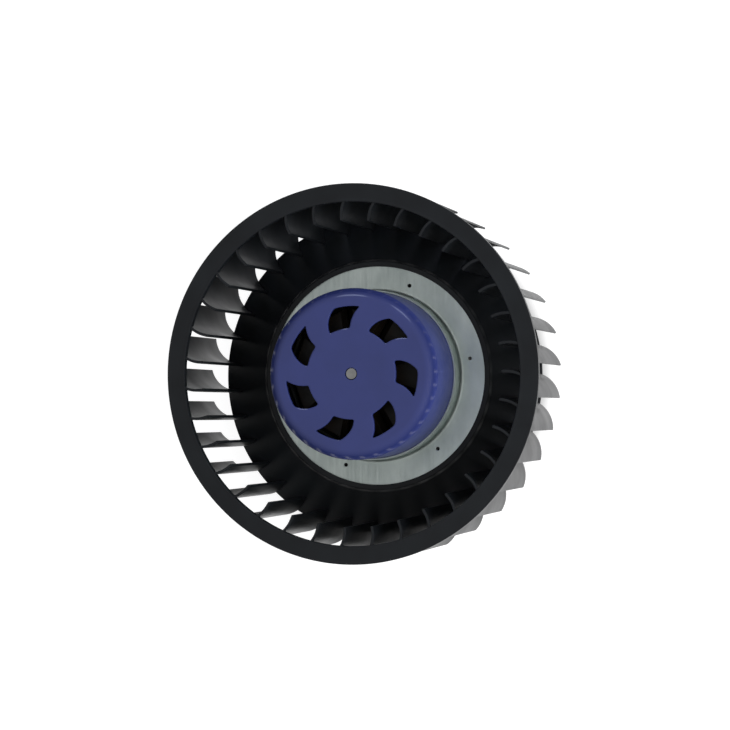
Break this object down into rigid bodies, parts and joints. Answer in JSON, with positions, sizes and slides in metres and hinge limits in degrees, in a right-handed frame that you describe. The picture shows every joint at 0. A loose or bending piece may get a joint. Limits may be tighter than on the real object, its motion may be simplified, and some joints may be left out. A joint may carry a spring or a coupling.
{
  "type": "forward curved centrifugal fan",
  "caption": "Forward curved centrifugal fan: moulded wheel with inlet ring, blades and back plate on a pressed hub disc, driven by the external rotor motor inside it.",
  "frame": {"origin": "centre of the stator flange's rear mounting face, on the shaft axis", "axes": "+Z along the shaft from the mounting face towards the inlet; seen from the inlet, +X is right and +Y is up"},
  "size_m": [0.19, 0.1898, 0.092],
  "materials": {
    "black_moulding": "fine satin moulded texture",
    "galvanised_steel": "galvanised sheet, satin",
    "blue_paint": "satin blue paint on drawn steel",
    "ground_steel": "ground steel",
    "spring_steel": "dark spring steel",
    "bearing_steel": "polished bearing steel",
    "ferrite_magnet": "sintered grey-black",
    "lamination_steel": "stacked stamped sheet",
    "enamelled_copper": "enamelled winding wire",
    "insulator_plastic": "filled plastic",
    "die_cast_aluminium": "die cast, blasted",
    "lid_plastic": "moulded plastic",
    "board_resin": "green solder resist",
    "capacitor_sleeve": "shrunk plastic sleeve",
    "module_resin": "moulded resin",
    "grommet_rubber": "matt rubber",
    "cage_plastic": "natural polyamide",
    "tinned_pin": "tinned"
  },
  "bodies": {
    "stator": {"bearing_cap": "ground_steel", "bearing_tube": "ground_steel", "bus_capacitor_1": "capacitor_sleeve", "bus_capacitor_2": "capacitor_sleeve", "cable_grommet": "grommet_rubber", "circuit_board": "board_resin", "coil_1": "enamelled_copper", "coil_2": "enamelled_copper", "coil_3": "enamelled_copper", "coil_4": "enamelled_copper", "coil_5": "enamelled_copper", "coil_6": "enamelled_copper", "coil_7": "enamelled_copper", "coil_8": "enamelled_copper", "coil_9": "enamelled_copper", "electronics_lid": "lid_plastic", "filter_choke": "ferrite_magnet", "front_bearing_outer_race": "bearing_steel", "front_insulator": "insulator_plastic", "lamination_stack": "lamination_steel", "lid_screw_1": "ground_steel", "lid_screw_2": "ground_steel", "lid_screw_3": "ground_steel", "phase_pin_1": "tinned_pin", "phase_pin_2": "tinned_pin", "phase_pin_3": "tinned_pin", "power_module": "module_resin", "preload_washer": "spring_steel", "rear_bearing_outer_race": "bearing_steel", "rear_insulator": "insulator_plastic", "stator_flange": "die_cast_aluminium"},
    "rotor": {"impeller_moulding": "black_moulding", "hub_disc": "galvanised_steel", "rotor_can": "blue_paint", "shaft": "ground_steel", "retaining_ring": "spring_steel", "magnet_strip": "ferrite_magnet", "front_bearing_inner_race": "bearing_steel", "rear_bearing_inner_race": "bearing_steel"},
    "front_ball_set": {"front_bearing_ball_1": "bearing_steel", "front_bearing_ball_2": "bearing_steel", "front_bearing_ball_3": "bearing_steel", "front_bearing_ball_4": "bearing_steel", "front_bearing_ball_5": "bearing_steel", "front_bearing_ball_6": "bearing_steel", "front_bearing_ball_7": "bearing_steel", "front_bearing_cage": "cage_plastic"},
    "rear_ball_set": {"rear_bearing_ball_1": "bearing_steel", "rear_bearing_ball_2": "bearing_steel", "rear_bearing_ball_3": "bearing_steel", "rear_bearing_ball_4": "bearing_steel", "rear_bearing_ball_5": "bearing_steel", "rear_bearing_ball_6": "bearing_steel", "rear_bearing_ball_7": "bearing_steel", "rear_bearing_cage": "cage_plastic"}
  },
  "joints": [
    {"name": "rotor_spin", "type": "hinge", "parent": "stator", "child": "rotor", "pos_m": [0, 0, 0.05325], "axis": [0, 0, 1], "continuous": true},
    {"name": "front_balls_roll", "type": "hinge", "parent": "stator", "child": "front_ball_set", "pos_m": [0, 0, 0.073], "axis": [0, 0, 1], "continuous": true},
    {"name": "rear_balls_roll", "type": "hinge", "parent": "stator", "child": "rear_ball_set", "pos_m": [0, 0, 0.0079], "axis": [0, 0, 1], "continuous": true}
  ],
  "couplings": [
    {"joint": "front_balls_roll", "follows": "rotor_spin", "ratio": 0.36111},
    {"joint": "rear_balls_roll", "follows": "rotor_spin", "ratio": 0.36111}
  ]
}
